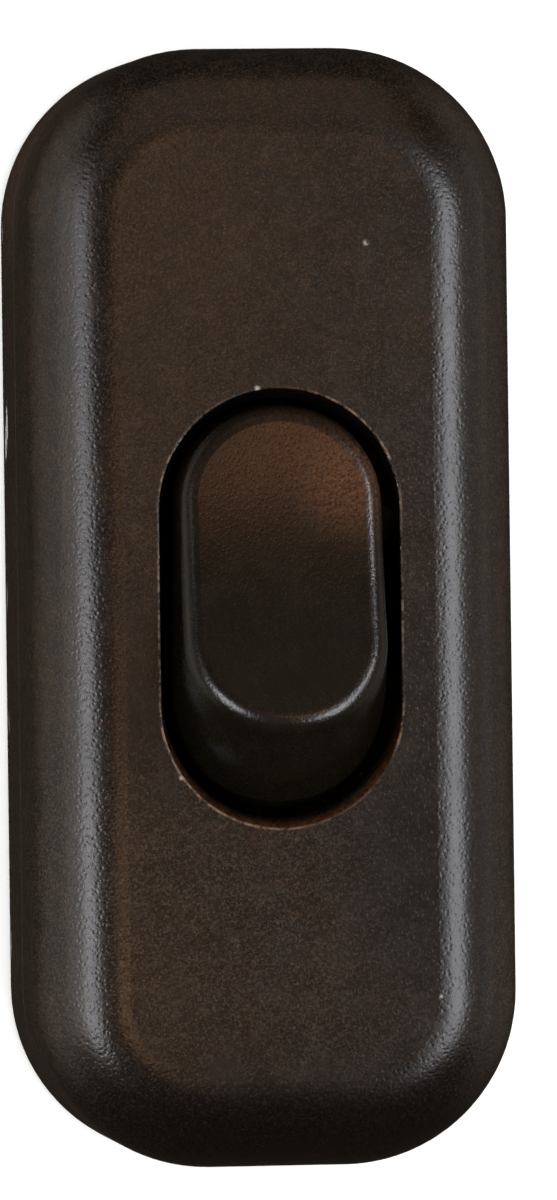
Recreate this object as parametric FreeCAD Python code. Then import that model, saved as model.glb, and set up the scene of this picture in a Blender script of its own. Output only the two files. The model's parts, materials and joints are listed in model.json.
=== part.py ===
import FreeCAD, Part
import math
import os
from FreeCAD import Vector

# Inline cord switch: a flat two-shell housing with a rocker in its top face. A cord enters
# through a round mouth at each end. Inside are two poles with a see-saw contact each, a
# sprung plunger in the rocker for each pole, an earth bar between the poles, six cage
# terminals and a screwed cord clamp at each end.
#
# Frame: millimetres. The origin is the centre of the underside, +Z up through the rocker,
# +Y along the housing towards the end of the rocker that is pressed in, +X across it.
# The rocker, plungers and see-saws are drawn level first and then turned to their rest pose.

# Housing
body_length = 70.0
body_width = 30.4
body_height = 22.0
seam_height = 10.0
end_flat_half_width = 4.3
shoulder_radius = 5.5
foot_radius = 2.4
wall = 2.0
floor_thickness = 2.0
roof_thickness = 2.0
seam_bevel = 0.1
tongue_height = 1.2
tongue_thickness = 0.8
tongue_clearance = 0.1

# Rocker, measured from its pivot
pivot_height = 14.2
rest_tilt = 14.0
crest_height = 10.9
crest_half_length = 10.15
crest_half_width = 6.2
skirt_half_length = 13.2
skirt_half_width = 6.95
skirt_top = 3.2
skirt_bottom = 0.5
scoop_depth = 0.8
crest_round = 1.15
rocker_wall = 1.3
cap_thickness = 1.6
pin_radius = 1.5
pin_length = 1.8
pin_clearance = 0.05
pin_chamfer = 0.3
hub_half_length = 3.0
cross_rib_y = 5.2

# Opening for the rocker in the roof, and the cheeks that carry its pins
side_gap = 0.4
end_gap = 0.3
lip_depth = 0.55
lip_end_flare = 0.65
lip_side_flare = 0.3
lip_round = 0.2
lip_round_steps = 3
cheek_thickness = 1.5
cheek_half_length = 3.2

# Poles
lane_x = 4.1
strip_width = 3.4
strip_thickness = 0.8
seesaw_half_length = 7.3
seesaw_tilt = 9.0
dish_half_angle = 42.0
seesaw_pin_radius = 0.5
ear_thickness = 0.8
ear_half_length = 1.6
ear_clearance = 0.15
ear_rise = 0.9
ear_round = 0.4

# Plungers and springs
stem_radius = 2.2
stem_bottom = -3.0
plunger_radius = 1.45
plunger_clearance = 0.05
plunger_foot = -4.4
plunger_shoulder = -0.4
tip_radius = 0.9
tip_drop = 6.0
tip_gap = 0.06
spigot_radius = 0.6
spigot_length = 1.2
spigot_chamfer = 0.2
bore_roof = 5.5
spring_wire = 0.4
spring_turns = 5.0
spring_end_gap = 0.03
spring_steps_per_turn = 12
spring_wire_sides = 6
spring_clearance = 0.1

# Contacts
contact_reach = 6.3
moving_contact_radius = 1.2
moving_contact_height = 0.5
fixed_contact_radius = 1.3
fixed_contact_height = 0.6
fixed_contact_chamfer = 0.2
rivet_radius = 0.6
rivet_head_radius = 0.95
rivet_head_height = 0.3
contact_gap = 0.02
peg_radius = 0.8
peg_clearance = 0.05
peg_gap = 0.05
contact_peg_y = 9.8
locator_rise = 0.8
bed_rib_width = 2.2

# Terminals
terminal_x = 6.8
lane_margin = 0.85
cage_length = 5.0
cage_side = 0.65
cage_round = 0.3
cage_floor = 0.8
cage_roof = 1.8
cage_clearance = 0.05
wire_space = 2.6
screw_entry = 0.6
terminal_screw_radius = 1.45
terminal_head_radius = 2.1
terminal_head_height = 1.6
terminal_head_gap = 0.8
thread_clearance = 0.03
pocket_depth = 0.7
pocket_wall = 0.9
barrier_thickness = 1.0
barrier_height = 10.5
jog_start = 9.6
jog_clearance = 0.85

# Earth bar
earth_web_height = 4.0
earth_slot_clearance = 0.05
centre_rib_thickness = 0.65
centre_rib_height = 10.6
rocker_stop_inside = 1.6
rocker_stop_outside = 0.4
rocker_stop_gap = 0.05
earth_web_gap = 0.1
earth_tab_clearance = 0.05

# Cord entry and clamp
cord_bore_radius = 3.75
mouth_length = 2.5
mouth_round = 0.6
mouth_round_steps = 3
collar_thickness = 1.6
clamp_end_gap = 0.35
clamp_length = 5.2
clamp_thickness = 3.0
clamp_corner = 2.0
clamp_half_width = 8.1
clamp_post_x = 6.1
clamp_post_radius = 2.2
clamp_post_height = 12.4
clamp_screw_radius = 1.45
clamp_screw_length = 9.0
thread_depth_spare = 0.6
clamp_head_radius = 2.5
clamp_head_height = 1.9
clamp_hole_clearance = 0.15
clamp_arch_radius = 4.3
clamp_arch_rise = 0.9
saddle_height = 6.2
saddle_half_width = 4.6
ridge_height = 0.6
ridge_spacing = 1.5

# Screws that hold the shells together
housing_screw_y = 7.4
lower_boss_radius = 3.7
upper_boss_radius = 2.5
housing_screw_radius = 1.45
housing_screw_length = 13.5
housing_head_radius = 2.4
housing_head_height = 1.9
head_recess_depth = 2.6
head_recess_clearance = 0.25
through_clearance = 0.25
boss_gap = 0.1

# Edges and slots that all small pieces share
slot_width = 0.7
slot_depth = 0.8
head_chamfer = 0.4
small_chamfer = 0.3

# Places that follow from the sizes above
half_length = body_length / 2
half_width = body_width / 2
ceiling = body_height - roof_thickness
plan_corner = half_width - end_flat_half_width
opening_half_width = skirt_half_width + side_gap
housing_screw_x = opening_half_width + upper_boss_radius + boss_gap
mouth_start = half_length - mouth_length
clamp_y = mouth_start - clamp_end_gap - clamp_length / 2
bore_radius = plunger_radius + plunger_clearance
spring_radius = bore_radius - spring_clearance - spring_wire / 2
tip_tilt = math.radians(rest_tilt)
arm_tilt = math.radians(seesaw_tilt)
EPS = 0.001
X, Y, Z = Vector(1, 0, 0), Vector(0, 1, 0), Vector(0, 0, 1)

# The see-saw's hinge lies this far under the rocker's pivot
seesaw_drop = tip_drop + tip_radius + tip_gap + strip_thickness / 2
seesaw_height = pivot_height - seesaw_drop


def tip_path(turn):
    """Centre of the plunger's tip as the see-saw sees it, with the rocker turned by a share of its tilt."""
    rocker_angle = turn * tip_tilt
    arm_angle = turn * arm_tilt
    y = tip_drop * math.sin(rocker_angle)
    z = seesaw_drop - tip_drop * math.cos(rocker_angle)
    along = y * math.cos(arm_angle) - z * math.sin(arm_angle)
    up = y * math.sin(arm_angle) + z * math.cos(arm_angle)
    return along, up


def dish_radius():
    """Radius of the see-saw's dish: the arc through the tip's path, grown by the tip and its gap."""
    level = tip_path(0)[1]
    along, up = tip_path(1)
    path_radius = (along**2 + (up - level) ** 2) / (2 * (up - level))
    return path_radius + tip_radius + tip_gap


dish = dish_radius()
dish_centre = strip_thickness / 2 + dish
arm_top = dish_centre - dish * math.cos(math.radians(dish_half_angle))
arm_underside = arm_top - strip_thickness

# The closed contacts set the height of the strips
moving_dome = (moving_contact_radius**2 + moving_contact_height**2) / (2 * moving_contact_height)
dome_centre = arm_underside - moving_contact_height + moving_dome
closed_height = (
    seesaw_height
    - contact_reach * math.sin(arm_tilt)
    + dome_centre * math.cos(arm_tilt)
    - moving_dome
)
strip_top = closed_height - contact_gap - fixed_contact_height
strip_bottom = strip_top - strip_thickness
contact_y = contact_reach * math.cos(arm_tilt) + dome_centre * math.sin(arm_tilt)

# Cage terminals stand on the strips' level, and the poles' lanes end at their beds
lane_end = skirt_half_length + lane_margin
jog_end = lane_end - jog_clearance
terminal_y = lane_end + pocket_wall + cage_clearance + cage_length / 2
cage_width = strip_width + 2 * cage_side + 2 * cage_clearance
cage_bottom = strip_bottom - cage_floor
window_top = strip_top + wire_space
cage_top = window_top + cage_roof
pin_reach = skirt_half_width + pin_length
ear_inner = strip_width / 2 + ear_clearance
ear_outer = ear_inner + ear_thickness


def cylinder(radius, length, start, direction):
    return Part.makeCylinder(radius, length, start, direction)


def hole_down(radius, x, y, z):
    """Drill through a strip whose underside is at z."""
    return cylinder(radius, strip_thickness + 2, Vector(x, y, z - 1), Z)


def box(x_range, y_range, z_range):
    low = Vector(x_range[0], y_range[0], z_range[0])
    return Part.makeBox(x_range[1] - low.x, y_range[1] - low.y, z_range[1] - low.z, low)


def fused(first, *others):
    return first.multiFuse(list(others)).removeSplitter() if others else first


def arc(start, middle, end):
    return Part.Arc(start, middle, end).toShape()


def line(start, end):
    return Part.LineSegment(start, end).toShape()


def corner_arc(centre, radius, degrees, z):
    """Quarter circle in plan that starts at the given angle."""
    points = []
    for part in (0, 45, 90):
        turn = math.radians(degrees + part)
        points.append(Vector(centre[0] + radius * math.cos(turn), centre[1] + radius * math.sin(turn), z))
    return arc(*points)


def body_outline(inset, z):
    """The housing's plan outline, moved inwards by inset."""
    radius = plan_corner - inset
    across = half_width - plan_corner
    along = half_length - plan_corner
    corners = [(across, along, 0), (-across, along, 90), (-across, -along, 180), (across, -along, 270)]
    arcs = [corner_arc((x, y), radius, turn, z) for x, y, turn in corners]
    edges = []
    for number, edge in enumerate(arcs):
        following = arcs[(number + 1) % len(arcs)]
        edges += [edge, line(edge.lastVertex().Point, following.firstVertex().Point)]
    return Part.Wire(edges)


def stadium(half_long, half_wide, z):
    """Slot outline along Y with fully round ends."""
    straight = half_long - half_wide
    right_low, right_high = Vector(half_wide, -straight, z), Vector(half_wide, straight, z)
    left_high, left_low = Vector(-half_wide, straight, z), Vector(-half_wide, -straight, z)
    return Part.Wire(
        [
            line(right_low, right_high),
            arc(right_high, Vector(0, half_long, z), left_high),
            line(left_high, left_low),
            arc(left_low, Vector(0, -half_long, z), right_low),
        ]
    )


def prism(outline, height):
    return Part.Face(outline).extrude(Z * height)


def edges_at(shape, z):
    """Edges that lie flat at height z."""
    return [edge for edge in shape.Edges if abs(edge.BoundBox.ZMin - z) + abs(edge.BoundBox.ZMax - z) < EPS]


def both_sides(make):
    return [make(-1), make(1)]


def profile_yz(points, x_low, x_high):
    """Straight-sided outline in the YZ plane, extruded across."""
    ring = [Vector(x_low, y, z) for y, z in points]
    return Part.Face(Part.makePolygon(ring + ring[:1])).extrude(X * (x_high - x_low))


def slotted_screw(radius, length, head_radius, head_height):
    """Screw along -Z with its head's underside at the origin."""
    shank = cylinder(radius, length, Vector(0, 0, -length), Z)
    tip_edges = edges_at(shank, -length)
    shank = shank.makeChamfer(small_chamfer, tip_edges)
    head = cylinder(head_radius, head_height, Vector(0, 0, 0), Z)
    head = head.makeChamfer(head_chamfer, edges_at(head, head_height))
    slot = box(
        (-head_radius, head_radius),
        (-slot_width / 2, slot_width / 2),
        (head_height - slot_depth, head_height + 1),
    )
    return fused(shank, head).cut(slot)


# Housing


def cord_passage():
    """Space that both cord mouths take out of the shells, with a rounded outer edge."""
    inner = mouth_start - clamp_end_gap / 2
    straight = half_length - mouth_round
    points = [(inner, 0), (inner, cord_bore_radius)]
    for step in range(mouth_round_steps + 1):
        turn = math.radians(90 * step / mouth_round_steps)
        along = straight + (mouth_round + EPS) * math.sin(turn)
        points.append((along, cord_bore_radius + mouth_round * (1 - math.cos(turn))))
    points += [(half_length + 1, cord_bore_radius + mouth_round), (half_length + 1, 0)]
    ring = [Vector(0, y, seam_height + up) for y, up in points]
    north = Part.Face(Part.makePolygon(ring + ring[:1])).revolve(Vector(0, 0, seam_height), Y, 360)
    south = north.copy()
    south.rotate(Vector(0, 0, 0), Z, 180)
    return Part.makeCompound([north, south])


def collars():
    """Tubes inside both ends that guide the cord, still solid."""
    length = half_length - wall / 2 - mouth_start
    radius = cord_bore_radius + collar_thickness
    tubes = []
    for end in (-1, 1):
        start = Vector(0, end * mouth_start, seam_height)
        tubes.append(cylinder(radius, length, start, Y * end))
    return tubes


def screw_places():
    """Axes of the two housing screws, on a diagonal."""
    return [(housing_screw_x, housing_screw_y), (-housing_screw_x, -housing_screw_y)]


def lower_block():
    outer = prism(body_outline(0, 0), seam_height)
    outer = outer.makeFillet(foot_radius, edges_at(outer, 0))
    return outer.makeChamfer(seam_bevel, edges_at(outer, seam_height))


def cage_places():
    """Centres of the six terminals in plan, with their names."""
    names = {-1: "neutral", 0: "earth", 1: "live"}
    ends = {1: "in", -1: "out"}
    return [
        (f"{names[side]}_{ends[end]}_terminal", side * terminal_x, end * terminal_y)
        for side in names
        for end in ends
    ]


def terminal_beds():
    """Pads and low walls that hold the cages, and the barriers between them."""
    pieces = []
    half_wide = cage_width / 2 + cage_clearance
    half_long = cage_length / 2 + cage_clearance
    for _, x, y in cage_places():
        pad = box(
            (x - half_wide - pocket_wall, x + half_wide + pocket_wall),
            (y - half_long - pocket_wall, y + half_long + pocket_wall),
            (floor_thickness - EPS, cage_bottom + pocket_depth),
        )
        pocket = box(
            (x - half_wide, x + half_wide),
            (y - half_long, y + half_long),
            (cage_bottom, seam_height),
        )
        pieces.append(pad.cut(pocket))
    barrier_x = terminal_x / 2
    for side in (-1, 1):
        for end in (-1, 1):
            middle = box(
                (side * barrier_x - barrier_thickness / 2, side * barrier_x + barrier_thickness / 2),
                (end * terminal_y - half_long - pocket_wall, end * terminal_y + half_long + pocket_wall),
                (floor_thickness - EPS, barrier_height),
            )
            pieces.append(middle)
    return pieces


def strip_beds():
    """Ribs under the strips and the pegs through them."""
    pieces = []
    for side in (-1, 1):
        x = side * lane_x
        rib = box(
            (x - bed_rib_width / 2, x + bed_rib_width / 2),
            (-lane_end, lane_end),
            (floor_thickness - EPS, strip_bottom),
        )
        foot = strip_bottom - EPS
        stop = cylinder(peg_radius, stop_peg_top() - foot, Vector(x, contact_reach, foot), Z)
        locator = cylinder(peg_radius, strip_thickness + locator_rise, Vector(x, -contact_peg_y, foot), Z)
        locator = locator.makeChamfer(small_chamfer, edges_at(locator, strip_top + locator_rise - EPS))
        pieces += [rib, stop, locator]
    return pieces


def centre_ribs():
    """Two ribs that part the poles and hold the earth bar, raised at their ends to stop the rocker."""
    pieces = []
    inner = strip_thickness / 2 + earth_slot_clearance
    edge_y = skirt_half_length * math.cos(tip_tilt) + skirt_bottom * math.sin(tip_tilt)
    edge_z = pivot_height - skirt_half_length * math.sin(tip_tilt) + skirt_bottom * math.cos(tip_tilt)
    for side in (-1, 1):
        span = sorted((side * inner, side * (inner + centre_rib_thickness)))
        pieces.append(box(span, (-lane_end, lane_end), (floor_thickness - EPS, centre_rib_height)))
        for end in (-1, 1):
            along = sorted((end * (edge_y - rocker_stop_inside), end * (edge_y + rocker_stop_outside)))
            pieces.append(box(span, along, (floor_thickness - EPS, edge_z - rocker_stop_gap)))
    pieces.append(box((-inner, inner), (-lane_end, lane_end), (floor_thickness - EPS, strip_bottom)))
    return pieces


def stop_peg_top():
    """Height of the peg that the raised arm comes down on, under the arm's slope."""
    outer_edge = contact_reach + peg_radius
    along = (outer_edge - arm_underside * math.sin(arm_tilt)) / math.cos(arm_tilt)
    height = seesaw_height - along * math.sin(arm_tilt) + arm_underside * math.cos(arm_tilt)
    return height - peg_gap


def clamp_post_places():
    """Axes of the four clamp screws."""
    return [(side * clamp_post_x, end * clamp_y) for end in (-1, 1) for side in (-1, 1)]


def cord_saddles():
    """Ridged saddles under the cord and the posts that the clamps screw to."""
    pieces = []
    for end in (-1, 1):
        y = end * clamp_y
        saddle = box(
            (-saddle_half_width, saddle_half_width),
            (y - clamp_length / 2, y + clamp_length / 2),
            (floor_thickness - EPS, saddle_height),
        )
        pieces.append(saddle)
        for offset in (-ridge_spacing, 0, ridge_spacing):
            ridge = profile_yz(
                [
                    (y + offset - ridge_height, saddle_height - EPS),
                    (y + offset, saddle_height + ridge_height),
                    (y + offset + ridge_height, saddle_height - EPS),
                ],
                -saddle_half_width,
                saddle_half_width,
            )
            pieces.append(ridge)
    for x, y in clamp_post_places():
        base = Vector(x, y, floor_thickness - EPS)
        pieces.append(cylinder(clamp_post_radius, clamp_post_height - base.z, base, Z))
    return pieces


def lower_shell():
    outer = lower_block()
    cavity = prism(body_outline(wall, floor_thickness), seam_height)
    cavity = cavity.makeFillet(foot_radius - wall, edges_at(cavity, floor_thickness))
    shell = outer.cut(cavity)
    rim = prism(body_outline(wall - tongue_thickness, seam_height - 1), tongue_height + 1)
    tongue = rim.cut(prism(body_outline(wall, seam_height - 1), tongue_height + 1))
    below_seam = box((-half_width, half_width), (-half_length, half_length), (0, seam_height))
    half_collars = [tube.common(below_seam) for tube in collars()]
    bosses = []
    for x, y in screw_places():
        bosses.append(cylinder(lower_boss_radius, seam_height, Vector(x, y, 0), Z).common(outer))
    inside = terminal_beds() + strip_beds() + centre_ribs() + cord_saddles()
    shell = fused(shell, tongue, *half_collars, *bosses, *inside)
    cuts = [cord_passage()]
    for x, y in screw_places():
        cuts.append(cylinder(housing_screw_radius + through_clearance, body_height, Vector(x, y, -1), Z))
        recess = housing_head_radius + head_recess_clearance
        cuts.append(cylinder(recess, head_recess_depth + 1, Vector(x, y, -1), Z))
    thread_foot = clamp_post_height + clamp_thickness - clamp_screw_length - thread_depth_spare
    for x, y in clamp_post_places():
        foot = Vector(x, y, thread_foot)
        cuts.append(cylinder(clamp_screw_radius + thread_clearance, clamp_screw_length, foot, Z))
    return shell.cut(Part.makeCompound(cuts)).removeSplitter()


def opening_reach():
    """How far the rocker's end reaches along Y at the ceiling when that end is pressed in."""
    turned = []
    for along, up in ((skirt_half_length, skirt_top), (crest_half_length, crest_height)):
        y = along * math.cos(tip_tilt) + up * math.sin(tip_tilt)
        z = pivot_height - along * math.sin(tip_tilt) + up * math.cos(tip_tilt)
        turned.append((y, z))
    (foot_y, foot_z), (top_y, top_z) = turned
    share = (ceiling - foot_z) / (top_z - foot_z)
    return foot_y + share * (top_y - foot_y)


def rocker_opening():
    """Slot through the roof with a sloped lip that is widest at its ends and rounds into the top face."""
    half_long = opening_reach() + end_gap
    throat = prism(stadium(half_long, opening_half_width, ceiling - 1), roof_thickness + 1)
    sections = [stadium(half_long, opening_half_width, body_height - lip_depth)]
    for step in range(lip_round_steps + 1):
        slope = math.radians(45 * (1 - step / lip_round_steps))
        back = lip_round * math.sin(slope)
        depth = lip_round * (1 - math.cos(slope))
        reach = (half_long + lip_end_flare - back, opening_half_width + lip_side_flare - back)
        sections.append(stadium(*reach, body_height - depth + EPS))
    lip = Part.makeLoft(sections, True, True)
    return throat.fuse(lip)


def cheek(side):
    """Plate beside the rocker with the hole that carries one of its pins."""
    near, far = sorted((side * opening_half_width, side * (opening_half_width + cheek_thickness)))
    plate = box((near, far), (-cheek_half_length, cheek_half_length), (pivot_height, ceiling + EPS))
    foot = cylinder(cheek_half_length, cheek_thickness, Vector(near, 0, pivot_height), X)
    hole = cylinder(pin_radius + pin_clearance, cheek_thickness + 2, Vector(near - 1, 0, pivot_height), X)
    return fused(plate, foot).cut(hole)


def upper_shell():
    outer = prism(body_outline(0, seam_height), body_height - seam_height)
    outer = outer.makeFillet(shoulder_radius, edges_at(outer, body_height))
    outer = outer.makeChamfer(seam_bevel, edges_at(outer, seam_height))
    cavity = prism(body_outline(wall, seam_height - 1), ceiling - seam_height + 1)
    cavity = cavity.makeFillet(shoulder_radius - wall, edges_at(cavity, ceiling))
    rebate_width = tongue_thickness + tongue_clearance
    rebate = prism(
        body_outline(wall - rebate_width, seam_height - 1), tongue_height + tongue_clearance + 1
    )
    shell = outer.cut(cavity).cut(rebate)
    above_seam = box((-half_width, half_width), (-half_length, half_length), (seam_height, body_height))
    rebate_rim = rebate.common(prism(body_outline(0, seam_height - 1), body_height))
    half_collars = [tube.common(above_seam) for tube in collars()]
    half_collars = [half.cut(rebate_rim.cut(cavity)) for half in half_collars]
    bosses = []
    for x, y in screw_places():
        boss = cylinder(upper_boss_radius, body_height - seam_height, Vector(x, y, seam_height), Z)
        boss = boss.common(outer)
        bosses.append(boss.cut(rebate.cut(cavity)))
    shell = fused(shell, *half_collars, *bosses, *both_sides(cheek))
    cuts = [cord_passage(), rocker_opening()]
    for x, y in screw_places():
        depth = head_recess_depth + housing_screw_length + thread_depth_spare
        cuts.append(cylinder(housing_screw_radius + thread_clearance, depth, Vector(x, y, 0), Z))
    for cut in cuts:
        shell = shell.cut(cut)
    return shell.removeSplitter()


def housing_screws():
    screws = []
    for x, y in screw_places():
        screw = slotted_screw(
            housing_screw_radius, housing_screw_length, housing_head_radius, housing_head_height
        )
        screw.rotate(Vector(0, 0, 0), X, 180)
        screw.translate(Vector(x, y, head_recess_depth))
        screws.append(screw)
    return Part.makeCompound(screws)


# Rocker, drawn level about its pivot


def scoop(growth):
    """Large cylinder that hollows the rocker's top, grown for the cap's underside."""
    radius = (crest_half_length**2 + scoop_depth**2) / (2 * scoop_depth)
    centre = crest_height - scoop_depth + radius
    start = Vector(-skirt_half_width - 1, 0, centre)
    return cylinder(radius + growth, 2 * skirt_half_width + 2, start, X)


def rocker_form(inset):
    """Skirt and sloping walls of the rocker, moved inwards by inset."""
    wide = skirt_half_width - inset
    long = skirt_half_length - inset
    skirt = prism(stadium(long, wide, skirt_bottom), skirt_top - skirt_bottom)
    slope = Part.makeLoft(
        [
            stadium(long, wide, skirt_top),
            stadium(crest_half_length - inset, crest_half_width - inset, crest_height),
        ],
        True,
        True,
    )
    return skirt.fuse(slope).removeSplitter()


def rocker_shell():
    solid = rocker_form(0).cut(scoop(0))
    top = [face for face in solid.Faces if face.Surface.TypeId == "Part::GeomCylinder"]
    top = max(top, key=lambda face: face.Surface.Radius)
    solid = solid.makeFillet(crest_round, top.Edges)
    hollow = rocker_form(rocker_wall).cut(scoop(cap_thickness))
    return solid.cut(hollow)


def rocker_stem(side):
    """Tube under the cap that guides one plunger."""
    return cylinder(stem_radius, crest_height - stem_bottom, Vector(side * lane_x, 0, stem_bottom), Z)


def rocker_ribs():
    """Web that joins the stems, and a rib across each half."""
    half = rocker_wall / 2
    ribs = [box((-lane_x, lane_x), (-half, half), (skirt_bottom, crest_height))]
    for end in (-1, 1):
        y = end * cross_rib_y
        across = (-skirt_half_width, skirt_half_width)
        ribs.append(box(across, (y - half, y + half), (skirt_top, crest_height)))
    return ribs


def rocker_hub(side):
    """Rounded plate in the side wall that carries one pin."""
    near, far = sorted((side * (skirt_half_width - rocker_wall), side * skirt_half_width))
    plate = cylinder(hub_half_length, rocker_wall, Vector(near, 0, 0), X)
    upper = box((near, far), (-hub_half_length, hub_half_length), (0, skirt_top))
    root = Vector(side * (skirt_half_width - rocker_wall), 0, 0)
    pin = cylinder(pin_radius, pin_length + rocker_wall, root, X * side)
    outer_edges = [edge for edge in pin.Edges if abs(edge.CenterOfMass.x) > pin_reach - EPS]
    pin = pin.makeChamfer(pin_chamfer, outer_edges)
    return fused(plate, upper, pin)


def rocker_level():
    """The whole rocker: shell, ribs, plunger stems and pins."""
    ribs = [rib.common(rocker_form(rocker_wall / 2)) for rib in rocker_ribs()]
    inside = [piece.cut(scoop(cap_thickness / 2)) for piece in ribs + both_sides(rocker_stem)]
    rocker = fused(rocker_shell(), *inside, *both_sides(rocker_hub))
    for side in (-1, 1):
        depth = bore_roof - stem_bottom + 1
        rocker = rocker.cut(cylinder(bore_radius, depth, Vector(side * lane_x, 0, stem_bottom - 1), Z))
    return rocker.removeSplitter()


def plunger_level(side):
    """Guide, cone and round tip, with a spigot for the spring."""
    x = side * lane_x
    guide = cylinder(plunger_radius, plunger_shoulder - plunger_foot, Vector(x, 0, plunger_foot), Z)
    spigot = cylinder(spigot_radius, spigot_length, Vector(x, 0, plunger_shoulder), Z)
    spigot = spigot.makeChamfer(spigot_chamfer, edges_at(spigot, plunger_shoulder + spigot_length))
    cone = Part.makeCone(tip_radius, plunger_radius, plunger_foot + tip_drop, Vector(x, 0, -tip_drop), Z)
    tip = Part.makeSphere(tip_radius, Vector(x, 0, -tip_drop))
    return fused(guide, spigot, cone, tip)


def coil_section(turn, pitch):
    """Faceted section of the spring's wire, square to the coil at this many turns from its start."""
    angle = 2 * math.pi * turn
    outward = Vector(math.cos(angle), math.sin(angle), 0)
    along = Z.cross(outward) * (2 * math.pi * spring_radius) + Z * pitch
    upward = along.normalize().cross(outward)
    centre = outward * spring_radius + Z * (pitch * turn)
    corners = []
    for corner in range(spring_wire_sides):
        lean = 2 * math.pi * corner / spring_wire_sides
        corners.append(centre + (outward * math.cos(lean) + upward * math.sin(lean)) * (spring_wire / 2))
    return Part.makePolygon(corners + corners[:1])


def spring_level(side):
    """Open coil between the plunger's shoulder and the roof of its bore."""
    height = bore_roof - plunger_shoulder - spring_wire - 2 * spring_end_gap
    steps = round(spring_turns * spring_steps_per_turn)
    turns = [spring_turns * step / steps for step in range(steps + 1)]
    coil = Part.makeLoft([coil_section(turn, height / spring_turns) for turn in turns], True, True)
    coil.translate(Vector(side * lane_x, 0, plunger_shoulder + spring_wire / 2 + spring_end_gap))
    return coil


def at_rest(shape, degrees, pivot):
    """Lifts a level piece to its pivot and turns it to its rest pose."""
    shape.translate(Vector(0, 0, pivot))
    shape.rotate(Vector(0, 0, pivot), X, degrees)
    return shape


# See-saws and contacts, drawn level about the see-saw's hinge


def seesaw_level(side):
    """Bent strip with a dish for the plunger and a round pin through its middle."""
    lift = dish * math.sin(math.radians(dish_half_angle))
    outer = dish + strip_thickness
    under = math.sqrt(outer**2 - (dish_centre - arm_underside) ** 2)
    end = seesaw_half_length
    low, high = arm_underside, arm_top
    centre_top, centre_low = strip_thickness / 2, -strip_thickness / 2
    x = side * lane_x - strip_width / 2
    edges = [
        line(Vector(x, -end, high), Vector(x, -lift, high)),
        arc(Vector(x, -lift, high), Vector(x, 0, centre_top), Vector(x, lift, high)),
        line(Vector(x, lift, high), Vector(x, end, high)),
        line(Vector(x, end, high), Vector(x, end, low)),
        line(Vector(x, end, low), Vector(x, under, low)),
        arc(Vector(x, under, low), Vector(x, 0, centre_low), Vector(x, -under, low)),
        line(Vector(x, -under, low), Vector(x, -end, low)),
        line(Vector(x, -end, low), Vector(x, -end, high)),
    ]
    strip = Part.Face(Part.Wire(edges)).extrude(X * strip_width)
    reach = ear_outer
    pin = cylinder(seesaw_pin_radius, 2 * reach, Vector(side * lane_x - reach, 0, 0), X)
    trough = cylinder(dish, strip_width, Vector(x, 0, dish_centre), X)
    rivet_hole = hole_down(rivet_radius, side * lane_x, -contact_reach, arm_underside)
    return fused(strip, pin).cut(trough).cut(rivet_hole)


def moving_contact_level(side):
    """Domed silver contact riveted through the see-saw's end."""
    x, y = side * lane_x, -contact_reach
    foot = Vector(x, y, arm_underside - moving_contact_height)
    head = cylinder(moving_contact_radius, moving_contact_height, foot, Z)
    head = head.common(Part.makeSphere(moving_dome, Vector(x, y, dome_centre)))
    shank = cylinder(rivet_radius, strip_thickness, Vector(x, y, arm_underside), Z)
    upset = Part.makeCone(rivet_head_radius, rivet_radius, rivet_head_height, Vector(x, y, arm_top), Z)
    return fused(head, shank, upset)


# Fixed metal parts


def fixed_contact(side):
    """Flat silver contact riveted through its strip."""
    x, y = side * lane_x, -contact_y
    head = cylinder(fixed_contact_radius, fixed_contact_height, Vector(x, y, strip_top), Z)
    head = head.makeChamfer(fixed_contact_chamfer, edges_at(head, strip_top + fixed_contact_height))
    shank = cylinder(rivet_radius, strip_thickness, Vector(x, y, strip_bottom), Z)
    return fused(head, shank)


def strip_plate(side, end, start_y):
    """Flat strip from start_y in its lane, out to its cage, with a jog between them."""
    half = strip_width / 2
    far = terminal_y + cage_length / 2
    points = [
        (lane_x - half, start_y),
        (lane_x + half, start_y),
        (lane_x + half, jog_start),
        (terminal_x + half, jog_end),
        (terminal_x + half, far),
        (terminal_x - half, far),
        (terminal_x - half, jog_end),
        (lane_x - half, jog_start),
    ]
    ring = [Vector(side * x, end * y, strip_bottom) for x, y in points]
    return Part.Face(Part.makePolygon(ring + ring[:1])).extrude(Z * strip_thickness)


def ear(side, edge):
    """Upright lug with an open round notch for the see-saw's pin."""
    x = side * lane_x + edge * (ear_inner + ear_outer) / 2 - ear_thickness / 2
    top = seesaw_height + ear_rise
    lug = box((x, x + ear_thickness), (-ear_half_length, ear_half_length), (strip_bottom, top))
    crossing = [edge for edge in edges_at(lug, top) if edge.BoundBox.XLength > ear_thickness / 2]
    lug = lug.makeFillet(ear_round, crossing)
    notch = seesaw_pin_radius + pin_clearance
    seat = cylinder(notch, ear_thickness + 2, Vector(x - 1, 0, seesaw_height), X)
    mouth = box((x - 1, x + ear_thickness + 1), (-notch, notch), (seesaw_height, top + 1))
    return lug.cut(seat.fuse(mouth))


def fulcrum_strip(side):
    """Strip that carries the see-saw between two ears and leads to the incoming terminal."""
    x = side * lane_x
    plate = strip_plate(side, 1, -ear_half_length)
    foot = box((x - ear_outer, x + ear_outer), (-ear_half_length, ear_half_length), (strip_bottom, strip_top))
    hole = hole_down(peg_radius + peg_clearance, x, contact_reach, strip_bottom)
    return fused(plate, foot, ear(side, -1), ear(side, 1)).cut(hole)


def contact_strip(side):
    """Strip under the fixed contact that leads to the outgoing terminal."""
    x = side * lane_x
    plate = strip_plate(side, -1, contact_y - fixed_contact_radius)
    peg_hole = hole_down(peg_radius + peg_clearance, x, -contact_peg_y, strip_bottom)
    return plate.cut(peg_hole).cut(hole_down(rivet_radius, x, -contact_y, strip_bottom))


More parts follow.
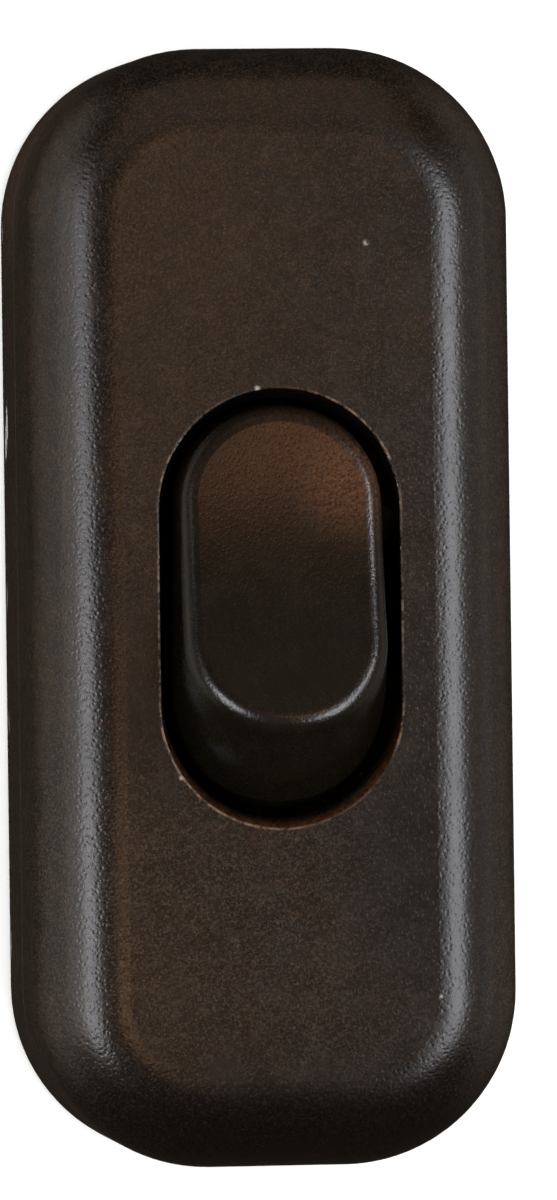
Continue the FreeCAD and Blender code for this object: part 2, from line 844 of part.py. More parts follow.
def earth_bar():
    """Strip on edge between the poles, with both ends folded flat into their cages."""
    half = strip_thickness / 2
    reach = terminal_y - cage_length / 2 - earth_web_gap
    web = box((-half, half), (-reach, reach), (strip_bottom, strip_bottom + earth_web_height))
    tabs = []
    for end in (-1, 1):
        near, far = sorted((end * (lane_end + earth_tab_clearance), end * (terminal_y + cage_length / 2)))
        tabs.append(box((-strip_width / 2, strip_width / 2), (near, far), (strip_bottom, strip_top)))
    return fused(web, *tabs)


def cage(x, y):
    """Square brass cage with a window for the strip and the wire, and a threaded roof."""
    half_wide, half_long = cage_width / 2, cage_length / 2
    block = box((x - half_wide, x + half_wide), (y - half_long, y + half_long), (cage_bottom, cage_top))
    upright = [e for e in block.Edges if e.BoundBox.YLength > cage_length / 2]
    block = block.makeFillet(cage_round, upright)
    inner = half_wide - cage_side
    window = box((x - inner, x + inner), (y - half_long - 1, y + half_long + 1), (strip_bottom, window_top))
    thread_radius = terminal_screw_radius + thread_clearance
    thread = cylinder(thread_radius, cage_roof + 2, Vector(x, y, window_top - 1), Z)
    return block.cut(window).cut(thread)


def terminal_screws():
    """Six screws, backed off so that the wires' spaces are open."""
    length = cage_roof + screw_entry + terminal_head_gap
    screws = []
    for _, x, y in cage_places():
        screw = slotted_screw(terminal_screw_radius, length, terminal_head_radius, terminal_head_height)
        screw.translate(Vector(x, y, cage_top + terminal_head_gap))
        screws.append(screw)
    return Part.makeCompound(screws)


# Cord clamps


def cord_clamp(end):
    """Bridge over the cord, arched and ridged underneath, on two posts."""
    y = end * clamp_y
    low = clamp_post_height
    block = box(
        (-clamp_half_width, clamp_half_width),
        (y - clamp_length / 2, y + clamp_length / 2),
        (low, low + clamp_thickness),
    )
    ends = [e for e in block.Edges if e.BoundBox.ZLength > clamp_thickness / 2]
    block = block.makeFillet(clamp_corner, ends)
    centre = low + clamp_arch_rise - clamp_arch_radius
    arch = cylinder(clamp_arch_radius, clamp_length + 2, Vector(0, y - clamp_length / 2 - 1, centre), Y)
    block = block.cut(arch)
    for side in (-1, 1):
        hole = clamp_screw_radius + clamp_hole_clearance
        block = block.cut(cylinder(hole, clamp_thickness + 2, Vector(side * clamp_post_x, y, low - 1), Z))
    return block


def cord_clamp_screws():
    screws = []
    seat = clamp_post_height + clamp_thickness
    for x, y in clamp_post_places():
        screw = slotted_screw(clamp_screw_radius, clamp_screw_length, clamp_head_radius, clamp_head_height)
        screw.translate(Vector(x, y, seat))
        screws.append(screw)
    return Part.makeCompound(screws)


def all_parts():
    """Every piece by name, at its rest pose."""
    parts = {
        "lower_shell": lower_shell(),
        "upper_shell": upper_shell(),
        "housing_screws": housing_screws(),
        "rocker": at_rest(rocker_level(), -rest_tilt, pivot_height),
        "earth_bar": earth_bar(),
        "terminal_screws": terminal_screws(),
        "cord_clamp_in": cord_clamp(1),
        "cord_clamp_out": cord_clamp(-1),
        "cord_clamp_screws": cord_clamp_screws(),
    }
    for pole, side in (("neutral", -1), ("live", 1)):
        parts[f"{pole}_plunger"] = at_rest(plunger_level(side), -rest_tilt, pivot_height)
        parts[f"{pole}_spring"] = at_rest(spring_level(side), -rest_tilt, pivot_height)
        parts[f"{pole}_seesaw"] = at_rest(seesaw_level(side), seesaw_tilt, seesaw_height)
        parts[f"{pole}_moving_contact"] = at_rest(moving_contact_level(side), seesaw_tilt, seesaw_height)
        parts[f"{pole}_fixed_contact"] = fixed_contact(side)
        parts[f"{pole}_fulcrum_strip"] = fulcrum_strip(side)
        parts[f"{pole}_contact_strip"] = contact_strip(side)
    for name, x, y in cage_places():
        parts[name] = cage(x, y)
    return parts


os.makedirs("parts", exist_ok=True)
for name, shape in all_parts().items():
    shape.exportStep(f"parts/{name}.step")
    print(name, len(shape.Solids), shape.isValid(), round(shape.Volume, 2))
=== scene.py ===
import json
import math

import bpy
from mathutils import Matrix, Vector


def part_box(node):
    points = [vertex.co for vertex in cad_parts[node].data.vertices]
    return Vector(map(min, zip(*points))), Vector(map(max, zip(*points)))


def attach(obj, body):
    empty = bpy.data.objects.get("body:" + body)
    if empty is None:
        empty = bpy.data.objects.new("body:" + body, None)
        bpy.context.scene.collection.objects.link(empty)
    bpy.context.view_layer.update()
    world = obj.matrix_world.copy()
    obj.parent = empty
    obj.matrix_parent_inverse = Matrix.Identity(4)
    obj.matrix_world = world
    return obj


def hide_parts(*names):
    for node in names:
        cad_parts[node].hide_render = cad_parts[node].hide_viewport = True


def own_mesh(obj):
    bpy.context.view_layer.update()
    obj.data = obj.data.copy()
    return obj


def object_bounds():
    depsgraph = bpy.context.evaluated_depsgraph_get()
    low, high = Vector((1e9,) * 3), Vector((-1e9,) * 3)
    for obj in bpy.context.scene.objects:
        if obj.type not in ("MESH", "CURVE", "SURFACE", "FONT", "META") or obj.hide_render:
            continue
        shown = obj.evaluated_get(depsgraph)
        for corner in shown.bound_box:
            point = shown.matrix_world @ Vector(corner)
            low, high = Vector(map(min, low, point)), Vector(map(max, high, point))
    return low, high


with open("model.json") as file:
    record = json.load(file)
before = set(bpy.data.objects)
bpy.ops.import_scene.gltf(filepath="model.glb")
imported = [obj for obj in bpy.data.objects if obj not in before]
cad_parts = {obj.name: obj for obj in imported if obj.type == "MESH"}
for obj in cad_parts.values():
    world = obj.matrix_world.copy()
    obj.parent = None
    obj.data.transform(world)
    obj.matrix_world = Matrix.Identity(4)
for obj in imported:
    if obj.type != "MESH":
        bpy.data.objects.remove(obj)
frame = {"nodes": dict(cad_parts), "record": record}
cad_low, cad_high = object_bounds()

# Inline cord switch: the moulded shells, the rocker and the metal parts inside get their finishes
# here, the plunger springs become wound coils, and the floor, the light and the camera are set up.
# Lengths are in metres, apart from places on the switch, which are in millimetres.

MM = 0.001

# The switch, in millimetres: its left side, its flat top and the opening for the rocker
side_x = cad_low.x / MM
top_z = 22.0
opening_half_length = 13.746
opening_half_width = 7.65

# Plunger springs: round wire with closed ends. Millimetres, level and from the rocker's pivot
# before the rocker's tilt
pivot_height = 14.2
rocker_tilt = math.radians(-14)
coil_foot = -0.37
coil_top = 5.47
coil_radius = 1.2
coil_wire = 0.4
coil_turns = 5
closed_turns = 0.6
steps_per_turn = 40
wire_sides = 12

# Camera: almost straight above, leaning a little to the left, as a close product photo has it
camera_distance = 0.7
camera_lens = 332.6
camera_lean_left = math.radians(7.14)
camera_lean_up = math.radians(0.62)
camera_roll = math.radians(-0.74)
camera_aim = Vector((0, 0, 11 * MM))
aim_right = 1.22 * MM
aim_up = 0.41 * MM

# Colours of the moulded plastic, and where it has gone warm
shell_brown = (0.0035, 0.0024, 0.0017)
shell_brown_warm = (0.019, 0.0098, 0.0042)
rocker_brown = (0.0046, 0.004, 0.0022)
rocker_brown_warm = (0.0085, 0.0058, 0.0026)

# Colours of its dust, specks and flecks, and of painted light and shade: warm light, glints, and the lip's
# shade, warm light and highlight
dust_tan = (0.24, 0.165, 0.12)
speck_grey = (0.105, 0.082, 0.062)
# Painted warm light
warm_light_red = (0.17, 0.072, 0.036)
fleck_cream = (0.5, 0.46, 0.42)
# Painted glints
glint_grey = (0.58, 0.58, 0.6)
# Painted shade, painted warm light and painted highlight of the lip round the rocker
lip_shade_black = (0.0012, 0.0011, 0.001)
lip_warm_light_brown = (0.075, 0.028, 0.012)
edge_highlight_tan = (0.3, 0.2, 0.13)

# Grain of the moulds
shell_grain = 0.24 * MM
rocker_grain = 0.19 * MM

# Painted shade: patches of the top where the dust, specks and warm mottle fade, so they come out darker:
# centre, reach and how much longer along the switch
shaded_top_patches = [
    ((9.0, -16.0, top_z), 8.5, 2.0),
    ((-8.0, -5.5, top_z), 5.0, 1.8),
]
# Light flecks of the top: centre and reach
top_flecks = [
    ((5.62, 22.65, top_z), 0.26),
    ((-1.31, 13.67, top_z), 0.28),
    ((9.75, -24.33, top_z), 0.2),
    ((-6.35, -10.45, top_z), 0.22),
]
# Painted glints: light streaks low on the left side: centre, reach, how much longer than high, and strength
side_painted_glints = [
    ((side_x, 11.7, 4.5), 1.15, 2.4, 1.0),
    ((side_x, 10.6, 3.7), 0.95, 2.6, 1.0),
    ((side_x, 23.9, 3.2), 0.5, 3.0, 0.5),
    ((side_x, 0.7, 3.3), 0.5, 4.0, 0.55),
    ((side_x, -7.2, 3.4), 0.45, 3.0, 0.5),
    ((side_x, -21.4, 2.9), 0.6, 3.5, 0.5),
]
# Painted warm light: reddish patches on the rocker's pressed end and low on the housing's far left corner:
# centre, reach and strength
rocker_warm_light_patches = [
    ((4.4, 7.6, 22.0), 5.0, 0.75),
    ((0.5, 9.6, 22.0), 5.5, 0.22),
    ((-3.5, 7.2, 22.2), 4.6, 0.12),
]
side_warm_light_patches = [
    ((-13.0, 29.2, 8.0), 8.0, 0.34),
    ((-14.8, 25.6, 8.0), 8.0, 0.2),
]

# Nodes that the studio lamps light. The metal parts deep inside stay dim
housing_nodes = [
    "upper_shell",
    "lower_shell",
    "housing_screws",
    "cord_clamp_in",
    "cord_clamp_out",
    "cord_clamp_screws",
]

# Lamps: name, lean to the right and to the far end in degrees, distance, width and length,
# brightness, colour and what it lights
lamps = [
    ("left_softbox", -46, -2, 0.25, 0.07, 0.2, 2.6, (0.97, 0.98, 1.05), "housing"),
    ("left_near_softbox", -46, -18.5, 0.25, 0.07, 0.12, 3.9, (0.97, 0.98, 1.05), "housing"),
    ("left_wall", -65, 6, 0.4, 0.2, 0.4, 1.3, (1.0, 0.97, 0.92), "housing"),
    ("rocker_left_wall", -62, 0, 0.4, 0.3, 0.4, 0.17, (0.98, 1.0, 0.9), "rocker"),
    ("right_softbox", 32, -4, 0.2, 0.065, 0.13, 6.7, (0.96, 0.98, 1.04), "housing"),
    ("right_wall", 66, 6, 0.4, 0.3, 0.4, 0.4, (1.0, 0.96, 0.9), "housing"),
    ("overhead_panel", -0.5, 10, 0.22, 0.05, 0.068, 1.4, (1.0, 0.57, 0.3), "housing"),
    ("near_overhead_panel", -5.5, -10.5, 0.22, 0.04, 0.034, 3.9, (1.0, 0.57, 0.3), "housing"),
    ("far_panel", 0, 50, 0.4, 0.4, 0.44, 0.42, (1.0, 0.72, 0.54), "housing"),
    ("rocker_far_panel", 0, 50, 0.4, 0.3, 0.2, 0.17, (1.0, 0.75, 0.5), "rocker"),
    ("warm_lamp", 12, 13, 0.4, 0.1, 0.07, 3.1, (1.0, 0.38, 0.13), "rocker"),
    ("rocker_side_lamp", 40, 20, 0.3, 0.06, 0.08, 12.0, (0.97, 0.97, 1.02), "rocker"),
    ("rocker_left_lamp", -40, 22, 0.3, 0.03, 0.08, 1.6, (0.97, 1.0, 0.98), "rocker"),
    ("rocker_left_near_lamp", -36, -14, 0.3, 0.12, 0.11, 9.5, (0.97, 0.98, 1.02), "rocker"),
    ("rocker_right_near_lamp", 34, -10, 0.3, 0.13, 0.14, 8.0, (0.97, 0.98, 1.02), "rocker"),
    ("floor_wash", 0, 0, 0.9, 1.2, 1.2, 5.5, (1.0, 1.0, 1.0), "floor"),
]

# Room round the switch: its own dim light, and the glow low down on its left and right
room_strength = 0.035
glow_strength = 0.75
left_glow = 0.84
right_glow = 0.41
room_colour = (1.0, 0.78, 0.6)
glow_colour = (1.0, 0.95, 0.9)

# Floor
floor_half_side = 1.5
floor_drop = 0.01 * MM


class Signal:
    """A value on its way through a finish, which arithmetic works on."""

    def __init__(self, maker, socket):
        self.maker = maker
        self.socket = socket

    def math(self, operation, *values):
        return self.maker.node("ShaderNodeMath", {"operation": operation}, dict(enumerate(values)))

    def __add__(self, other):
        return self.math("ADD", self, other)

    __radd__ = __add__

    def __mul__(self, other):
        return self.math("MULTIPLY", self, other)

    __rmul__ = __mul__

    def __sub__(self, other):
        return self.math("SUBTRACT", self, other)

    def __rsub__(self, other):
        return self.math("SUBTRACT", other, self)

    def __truediv__(self, other):
        return self.math("DIVIDE", self, other)

    def __rtruediv__(self, other):
        return self.math("DIVIDE", other, self)

    def __abs__(self):
        return self.math("ABSOLUTE", self)

    def most(self, other):
        return self.math("MAXIMUM", self, other)

    def root(self):
        return self.math("SQRT", self)

    def rise(self, low, high):
        """0 below low, 1 above high and a soft step between; low may be the higher one."""
        spread = {"Value": self, "From Min": low, "From Max": high}
        return self.maker.node("ShaderNodeMapRange", {"interpolation_type": "SMOOTHSTEP"}, spread)


class NodeMaker:
    """A node tree whose nodes are added one by one."""

    def __init__(self, tree, shader):
        self.tree = tree
        self.shader = tree.nodes[shader]

    def node(self, kind, settings, inputs, output=0):
        """Adds a node, sets it up, joins or sets its sockets, and gives one output back."""
        node = self.tree.nodes.new(kind)
        for key, value in settings.items():
            setattr(node, key, value)
        for key, value in inputs.items():
            self.feed(node.inputs[key], value)
        return Signal(self, node.outputs[output])

    def feed(self, socket, value):
        if isinstance(value, Signal):
            self.tree.links.new(value.socket, socket)
        elif socket.type == "RGBA":
            socket.default_value = (*value, 1)
        else:
            socket.default_value = value

    def set(self, **values):
        """Sets or joins sockets of the shader, named with underscores for spaces."""
        for name, value in values.items():
            self.feed(self.shader.inputs[name.replace("_", " ")], value)

    def axis(self, place, name):
        """One coordinate of a place."""
        return self.node("ShaderNodeSeparateXYZ", {}, {0: place}, name)

    def blend(self, share, first, second):
        """Colour between two colours."""
        return self.node("ShaderNodeMix", {"data_type": "RGBA"}, {0: share, 6: first, 7: second}, 2)


class Finish(NodeMaker):
    """A material for the switch."""

    def __init__(self, name):
        self.material = bpy.data.materials.new(name)
        self.material.use_nodes = True
        super().__init__(self.material.node_tree, "Principled BSDF")
        self.place = self.node("ShaderNodeTexCoord", {}, {}, "Object")

    def noise(self, size, detail=2.0, roughness=0.5, place=None):
        """Soft noise from 0 to 1 whose lumps are about this many metres across."""
        inputs = {
            "Vector": place or self.place,
            "Scale": 1 / size,
            "Detail": detail,
            "Roughness": roughness,
        }
        return self.node("ShaderNodeTexNoise", {}, inputs, "Fac")

    def cells(self, size):
        """Distance to the nearest of the points strewn about this many metres apart, in cell widths."""
        return self.node("ShaderNodeTexVoronoi", {}, {"Vector": self.place, "Scale": 1 / size}, "Distance")

    def stretched(self, x, y, z):
        """The place, scaled along each axis, for grain that runs one way."""
        return self.node("ShaderNodeVectorMath", {"operation": "MULTIPLY"}, {0: self.place, 1: (x, y, z)})

    def near(self, point, reach, length=1.0):
        """1 at a point given in millimetres, falling to 0 at this distance from it, or further along Y."""
        place = self.place if length == 1 else self.stretched(1, 1 / length, 1)
        spot = (point[0] * MM, point[1] * MM / length, point[2] * MM)
        inputs = {0: place, 1: spot}
        far = self.node("ShaderNodeVectorMath", {"operation": "DISTANCE"}, inputs, "Value")
        return far.rise(reach * MM, 0)

    def bump(self, height, depth):
        """Relief from a height of 0 to 1, this many metres deep."""
        return self.node("ShaderNodeBump", {}, {"Height": height, "Distance": depth})


class MouldedPlastic(Finish):
    """Dark moulded plastic with a fine spark-eroded grain and a cloudy colour, its dust and flecks, and
    painted light and shade.
    """

    def __init__(self, name, colour, warm, grain_size, grain_depth, roughness):
        super().__init__(name)
        self.x = self.axis(self.place, "X")
        self.y = self.axis(self.place, "Y")
        self.z = self.axis(self.place, "Z")
        # Painted shade: the near end and the shaded patches lose most of their dust, specks and warm
        # mottle, so they come out darker
        self.near_end_unshaded = self.y.rise(-33.5 * MM, -24 * MM) * 0.85 + 0.15
        self.unshaded = self.near_end_unshaded
        for point, reach, length in shaded_top_patches:
            self.unshaded = self.unshaded * (1 - self.near(point, reach, length) * 0.85)
        self.body = self.cloudy(colour, warm)
        grain = self.noise(grain_size, 2, 0.6)
        self.rough = roughness + (self.noise(2.5 * MM, 2) - 0.5) * 0.1 + (grain - 0.5) * 0.08
        self.set(Normal=self.relief(grain, grain_size, grain_depth))

    def cloudy(self, colour, warm):
        """Clouds and mottle of the warm colour."""
        cloud = self.noise(7 * MM, 3).rise(0.35, 0.7)
        mottle = self.noise(0.9 * MM, 3, 0.6).rise(0.42, 0.72)
        share = (cloud * 0.35 + mottle * 0.65) * (self.unshaded * 0.6 + self.near_end_unshaded * 0.4)
        return self.blend(share, colour, warm)

    def relief(self, grain, grain_size, grain_depth):
        """Grain and pits, crisp on the shoulders and worn down on the flat between them."""
        pits = self.cells(grain_size * 1.4).rise(0.1, 0.5)
        left = self.x.rise(-8.5 * MM, -11.5 * MM) * 0.46
        right = self.x.rise(8.5 * MM, 11.5 * MM) * 0.2
        crisp = left + right + 0.6
        return self.bump((grain * 0.6 + pits * 0.4) * crisp, grain_depth)

    def add_dust(self, amount):
        """Fine tan dust in loose patches."""
        patches = self.noise(1.6 * MM, 2).rise(0.3, 0.65) * 0.6 + 0.4
        dust = self.noise(0.12 * MM, 1).rise(0.5, 0.74) * patches
        self.body = self.blend(dust * self.unshaded * amount, self.body, dust_tan)

    def add_specks(self, amount):
        """Grey specks in the grain, most on the top and on its near half."""
        near_half = self.y.rise(-4 * MM, -15 * MM) * 0.5 + 0.5
        settled = self.z.rise(13 * MM, 20.5 * MM) * 0.6 + 0.4
        specks = self.noise(0.17 * MM, 2, 0.75).rise(0.47, 0.68) * near_half
        self.body = self.blend(specks * self.unshaded * settled * amount, self.body, speck_grey)

    def add_painted_warm_light(self, places):
        """Painted warm light: reddish, finely broken patches."""
        for point, reach, strength in places:
            warm_patch = self.near(point, reach) * self.noise(0.22 * MM, 4, 0.7).rise(0.3, 0.72)
            self.body = self.blend(warm_patch * strength, self.body, warm_light_red)

    def add_flecks(self, places):
        """Single light flecks."""
        for point, reach in places:
            fleck = self.near(point, reach) * self.noise(0.2 * MM, 2).rise(0.3, 0.5)
            self.body = self.blend(fleck, self.body, fleck_cream)

    def add_painted_glints(self, places):
        """Painted glints: light streaks with ragged edges, which are also a little rougher."""
        for point, reach, length, strength in places:
            tatters = self.noise(0.45 * MM, 4, 0.75, self.stretched(1, 0.3, 1))
            ragged = (self.near(point, reach, length) + tatters).rise(0.9, 1.35)
            glint = ragged * self.noise(0.18 * MM, 2).rise(0.3, 0.6) * strength
            self.body = self.blend(glint, self.body, glint_grey)
            self.rough = self.rough + glint * 0.2

    def beyond_opening(self):
        """How far a place is outside the opening's outline, negative inside."""
        half_width = opening_half_width * MM
        past = (abs(self.y) - (opening_half_length * MM - half_width)).most(0)
        return (self.x * self.x + past * past).root() - half_width

    def paint_opening_light(self):
        """Lip round the rocker, smooth, with painted light and shade: painted shade makes it black, painted
        warm light browns its near end, and a painted highlight gives it a thin light edge.
        """
        beyond = self.beyond_opening()
        upper = self.z.rise(21 * MM, 21.3 * MM)
        lip = beyond.rise(-0.03 * MM, -0.1 * MM) * beyond.rise(-1.1 * MM, -0.75 * MM)
        # Painted shade: the lip goes black
        self.body = self.blend(lip * upper, self.body, lip_shade_black)
        near_end = self.y.rise(-4 * MM, -12 * MM) * beyond.rise(-0.62 * MM, -0.1 * MM)
        streaks = self.noise(0.4 * MM, 3, 0.6).rise(0.3, 0.7) * 0.7 + 0.3
        # Painted warm light: brown streaks on the lip at its near end
        self.body = self.blend(lip * upper * near_end * streaks, self.body, lip_warm_light_brown)
        # Painted highlight: a thin, broken light line along the lip's outer edge
        edge = beyond.rise(0.08 * MM, 0.03 * MM) * beyond.rise(-0.12 * MM, -0.05 * MM) * upper
        broken = self.noise(0.7 * MM, 3, 0.7).rise(0.38, 0.6) * self.noise(6 * MM, 2).rise(0.3, 0.6)
        self.body = self.blend(edge * broken * 0.75, self.body, edge_highlight_tan)
        self.rough = self.rough - lip * upper * 0.14

    def apply(self):
        """Joins the colour and the roughness, once all the wear is on them."""
        self.set(Base_Color=self.body, Roughness=self.rough)
        return self


# Finishes


def upper_shell_plastic():
    """Top of the housing, with its light flecks, painted warm light at its far left corner, and the painted
    shade, warm light and highlight of the lip round the rocker.
    """
    f = MouldedPlastic(
        "upper_shell_plastic", shell_brown, shell_brown_warm,
        grain_size=shell_grain, grain_depth=0.027 * MM, roughness=0.26,
    )
    f.add_dust(0.13)
    f.add_specks(0.42)
    f.add_painted_warm_light(side_warm_light_patches)
    f.add_flecks(top_flecks)
    f.paint_opening_light()
    return f.apply()


def lower_shell_plastic():
    """Bottom of the housing, with painted glints low on its left side and painted warm light at its far
    left corner.
    """
    f = MouldedPlastic(
        "lower_shell_plastic", shell_brown, shell_brown_warm,
        grain_size=shell_grain, grain_depth=0.03 * MM, roughness=0.28,
    )
    f.add_dust(0.13)
    f.add_specks(0.42)
    f.add_painted_warm_light(side_warm_light_patches)
    f.add_painted_glints(side_painted_glints)
    return f.apply()


def rocker_plastic():
    """Rocker, finer and cleaner than the housing, with painted warm light making its pressed end reddish.
    """
    f = MouldedPlastic(
        "rocker_plastic", rocker_brown, rocker_brown_warm,
        grain_size=rocker_grain, grain_depth=0.022 * MM, roughness=0.27,
    )
    f.add_dust(0.04)
    f.add_specks(0.03)
    f.add_painted_warm_light(rocker_warm_light_patches)
    return f.apply()


def black_moulding():
    """Thermoset plastic of the cord clamps: near-black, with a swirled satin surface."""
    f = Finish("clamp_thermoset")
    swirl = f.noise(1.8 * MM, 4, 0.6)
    body = f.blend(swirl.rise(0.35, 0.7), (0.012, 0.012, 0.013), (0.028, 0.026, 0.025))
    grain = f.noise(0.2 * MM, 2)
    f.set(Base_Color=body, Roughness=0.34 + swirl * 0.22, Normal=f.bump(grain, 0.012 * MM))
    return f


def natural_nylon():
    """Milky plunger plastic, a little yellowed, with faint draw lines along its length."""
    f = Finish("plunger_nylon")
    haze = f.noise(0.8 * MM, 3)
    body = f.blend(haze.rise(0.3, 0.7), (0.72, 0.70, 0.63), (0.62, 0.58, 0.49))
    lines = f.noise(0.1 * MM, 2, 0.5, f.stretched(1, 1, 0.06))
    f.set(Base_Color=body, Roughness=0.36 + haze * 0.12, Normal=f.bump(lines, 0.006 * MM))
    f.set(Subsurface_Weight=0.12, Subsurface_Radius=(0.8 * MM, 0.7 * MM, 0.5 * MM))
    return f


def brass(name, bright, dull, stretch, grain_depth, tarnish):
    """Brass with rolling or drawing marks one way, and tarnish in soft patches."""
    f = Finish(name)
    marks = f.noise(0.12 * MM, 3, 0.6, f.stretched(*stretch))
    patches = f.noise(2.2 * MM, 4, 0.6).rise(0.45, 0.75) * tarnish
    body = f.blend(patches, f.blend(marks, bright, dull), (0.30, 0.19, 0.075))
    rough = 0.2 + marks * 0.14 + patches * 0.22
    f.set(Base_Color=body, Roughness=rough, Metallic=1.0, Normal=f.bump(marks, grain_depth))
    return f


def rolled_brass():
    """Stamped strip: bright, with rolling marks along it."""
    return brass(
        "strip_brass_rolled", bright=(0.78, 0.56, 0.24), dull=(0.62, 0.43, 0.17),
        stretch=(1, 0.05, 1), grain_depth=0.004 * MM, tarnish=0.5,
    )


def drawn_brass():
    """Cage terminals: duller, with deeper marks from drawing."""
    return brass(
        "terminal_brass_drawn", bright=(0.70, 0.50, 0.22), dull=(0.55, 0.38, 0.16),
        stretch=(0.3, 0.05, 1), grain_depth=0.008 * MM, tarnish=0.75,
    )


def contact_silver():
    """Silver alloy contact: satin, greyed by small arc marks."""
    f = Finish("contact_silver_alloy")
    marks = f.cells(0.25 * MM).rise(0.45, 0.15) * f.noise(0.7 * MM, 2).rise(0.4, 0.6)
    body = f.blend(marks * 0.7, (0.83, 0.82, 0.79), (0.33, 0.31, 0.3))
    fine = f.noise(0.06 * MM, 2)
    rough = 0.24 + marks * 0.3 + fine * 0.08
    f.set(Base_Color=body, Roughness=rough, Metallic=1.0, Normal=f.bump(fine, 0.003 * MM))
    return f


def drawn_wire():
    """Spring wire: grey drawn steel with a thin film of oil in patches."""
    f = Finish("spring_wire_steel")
    drawn = f.noise(0.05 * MM, 3, 0.6)
    oil = f.noise(0.9 * MM, 2).rise(0.4, 0.65)
    body = f.blend(oil * 0.4, (0.5, 0.5, 0.51), (0.34, 0.31, 0.27))
    rough = 0.26 + drawn * 0.16 - oil * 0.08
    f.set(Base_Color=body, Roughness=rough, Metallic=1.0, Normal=f.bump(drawn, 0.004 * MM))
    return f


def zinc_plate():
    """Bright zinc plated steel of the screws, faintly blue and yellow, with turning marks."""
    f = Finish("zinc_plated_screw")
    tint = f.noise(1.4 * MM, 2)
    body = f.blend(tint.rise(0.35, 0.65), (0.60, 0.62, 0.66), (0.66, 0.63, 0.55))
    turned = f.noise(0.09 * MM, 3, 0.6)
    scratches = f.noise(0.14 * MM, 2, 0.5, f.stretched(1, 0.12, 1)).rise(0.6, 0.68)
    rough = 0.22 + turned * 0.14 + scratches * 0.15
    f.set(Base_Color=body, Roughness=rough, Metallic=1.0, Normal=f.bump(turned, 0.005 * MM))
    return f


def dress(node, finish):
    """Gives a CAD node its finish."""
    piece = frame["nodes"][node]
    if not piece.material_slots:
        piece.data.materials.append(finish.material)
    for place in piece.material_slots:
        place.material = finish.material


finishes = {
    "housing_plastic": upper_shell_plastic(),
    "rocker_plastic": rocker_plastic(),
    "clamp_plastic": black_moulding(),
    "plunger_plastic": natural_nylon(),
    "strip_brass": rolled_brass(),
    "terminal_brass": drawn_brass(),
    "contact_silver": contact_silver(),
    "spring_steel": drawn_wire(),
    "zinc_steel": zinc_plate(),
}
for part in frame["record"]["subparts"]:
    dress(part["node"], finishes[part["material_slot"]])
dress("lower_shell", lower_shell_plastic())


# Springs


def tilted(x, y, z):
    """A place of the level rocker, in the switch's frame and in metres."""
    turned = Matrix.Rotation(rocker_tilt, 3, "X") @ Vector((x, y, z))
    return (turned + Vector((0, 0, pivot_height))) * MM


def coil_ring(lane, turn):
    """Corners of the wire's round section at this many turns from the coil's foot."""
    open_turns = coil_turns - 2 * closed_turns
    climb = min(max((turn - closed_turns) / open_turns, 0), 1)
    height = coil_foot + coil_wire / 2 + climb * (coil_top - coil_foot - coil_wire)
    angle = 2 * math.pi * turn
    outward = Vector((math.cos(angle), math.sin(angle), 0))
    centre = Vector((lane, 0, height)) + outward * coil_radius
    corners = []
    for side in range(wire_sides):
        lean = 2 * math.pi * side / wire_sides
        corner = centre + (outward * math.cos(lean) + Vector((0, 0, math.sin(lean)))) * (coil_wire / 2)
        corners.append(tilted(*corner))
    return corners


def coil_mesh(name, lane):
    """Wire wound round a plunger's lane, closed at both ends."""
    rings = coil_turns * steps_per_turn
    corners = []
    for ring in range(rings + 1):
        corners += coil_ring(lane, ring / steps_per_turn)
    foot_cap = tuple(range(wire_sides))[::-1]
    top_cap = tuple(range(rings * wire_sides, (rings + 1) * wire_sides))
    faces = [foot_cap, top_cap]
    for ring in range(rings):
        for side in range(wire_sides):
            near, far = ring * wire_sides, (ring + 1) * wire_sides
            after = (side + 1) % wire_sides
            faces.append((near + side, near + after, far + after, far + side))
    mesh = bpy.data.meshes.new(name)
    mesh.from_pydata(corners, [], faces)
    mesh.polygons.foreach_set("use_smooth", [True] * len(faces))
    mesh.materials.append(finishes["spring_steel"].material)
    return mesh


def plunger_coil(pole):
    """Wound wire in place of a spring node, attached to the rocker's body."""
    node = f"{pole}_spring"
    name = f"{pole}_plunger_coil"
    low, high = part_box(node)
    lane = (low.x + high.x) / 2 / MM
    piece = bpy.data.objects.new(name, coil_mesh(name, lane))
    bpy.context.scene.collection.objects.link(piece)
    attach(piece, "rocker_body")
    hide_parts(node)
    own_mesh(piece)


plunger_coil("neutral")
plunger_coil("live")


# Floor, light and camera


def pale_floor():
    """Wide matt sheet that the switch lies on."""
    half = floor_half_side
    mesh = bpy.data.meshes.new("floor")
    corners = [(x, y, -floor_drop) for x, y in ((-half, -half), (half, -half), (half, half), (-half, half))]
    mesh.from_pydata(corners, [], [(0, 1, 2, 3)])
    floor = bpy.data.objects.new("floor", mesh)
    bpy.context.scene.collection.objects.link(floor)
    f = Finish("floor_paper")
    body = f.blend(f.noise(4 * MM, 3), (0.90, 0.905, 0.90), (0.93, 0.935, 0.93))
    f.set(Base_Color=body, Roughness=0.9, Specular_IOR_Level=0.1)
    mesh.materials.append(f.material)
    floor.visible_glossy = False
    return floor


def lit_group(name, pieces):
    """Collection of the pieces that a lamp lights."""
    group = bpy.data.collections.new(name)
    for piece in pieces:
        group.objects.link(piece)
    return group


def soft_light(name, lean_x, lean_y, distance, width, length, radiance, colour, group):
    """Rectangular lamp that faces the switch from a lean off the vertical, with its own brightness."""
    data = bpy.data.lights.new(name, "AREA")
    data.shape = "RECTANGLE"
    data.size, data.size_y = width, length
    data.energy = radiance * math.pi * width * length
    data.color = colour
    lamp = bpy.data.objects.new(name, data)
    back = Vector((math.tan(math.radians(lean_x)), math.tan(math.radians(lean_y)), 1)).normalized()
    side = Vector((0, 1, 0)).cross(back).normalized()
    turn = Matrix((side, back.cross(side), back)).transposed()
    lamp.matrix_world = Matrix.Translation(camera_aim + back * distance) @ turn.to_4x4()
    lamp.visible_camera = False
    lamp.light_linking.receiver_collection = group
    bpy.context.scene.collection.objects.link(lamp)


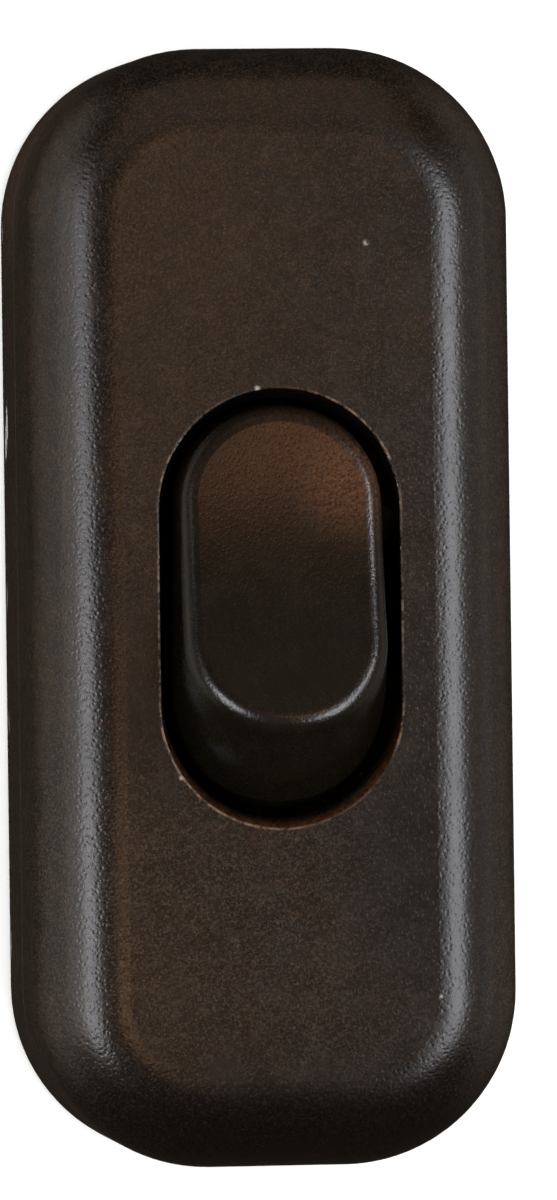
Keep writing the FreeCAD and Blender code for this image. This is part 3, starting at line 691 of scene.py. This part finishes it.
def studio_room():
    """Dim warm room, brighter low down on both long sides, where pale walls and the table would be."""
    world = bpy.data.worlds.new("studio")
    world.use_nodes = True
    room = NodeMaker(world.node_tree, "Background")
    direction = room.node("ShaderNodeTexCoord", {}, {}, "Generated")
    across = room.axis(direction, "X")
    along = room.axis(direction, "Y")
    up = room.axis(direction, "Z")
    # 0 straight out to a side, more towards the far end and less towards the near end
    endwise = along / (abs(across) + 0.1)
    beside = endwise.rise(1.6, 0.6) * endwise.rise(-0.9, -0.2)
    left = across.rise(-0.1, -0.6) * beside * left_glow
    right = across.rise(0.1, 0.6) * beside * right_glow
    low_down = up.rise(-0.93, -0.1) * up.rise(0.35, 0.1)
    glow = (left + right) * low_down * glow_strength
    room.set(Color=room.blend(glow, room_colour, glow_colour), Strength=room_strength + glow)
    bpy.context.scene.world = world


def studio_light(floor):
    """The room, and the lamps with what each one lights."""
    studio_room()
    groups = {
        "housing": lit_group("lit_housing", [frame["nodes"][node] for node in housing_nodes]),
        "rocker": lit_group("lit_rocker", [frame["nodes"]["rocker"]]),
        "floor": lit_group("lit_floor", [floor]),
    }
    for *lamp, lit in lamps:
        soft_light(*lamp, groups[lit])


def photo_camera():
    """Camera at the photo's angle, with the switch a little off the middle of the picture."""
    data = bpy.data.cameras.new("camera")
    data.lens = camera_lens
    camera = bpy.data.objects.new("camera", data)
    back = Vector((-math.sin(camera_lean_left), math.sin(camera_lean_up), 0))
    back.z = math.sqrt(1 - back.length_squared)
    level_right = Vector((0, 1, 0)).cross(back).normalized()
    level_up = back.cross(level_right)
    right = level_right * math.cos(camera_roll) + level_up * math.sin(camera_roll)
    up = back.cross(right)
    turn = Matrix((right, up, back)).transposed()
    place = camera_aim + back * camera_distance + right * aim_right + up * aim_up
    camera.matrix_world = Matrix.Translation(place) @ turn.to_4x4()
    bpy.context.scene.collection.objects.link(camera)
    bpy.context.scene.camera = camera


studio_light(pale_floor())
photo_camera()
bpy.context.scene.view_settings.view_transform = "Standard"
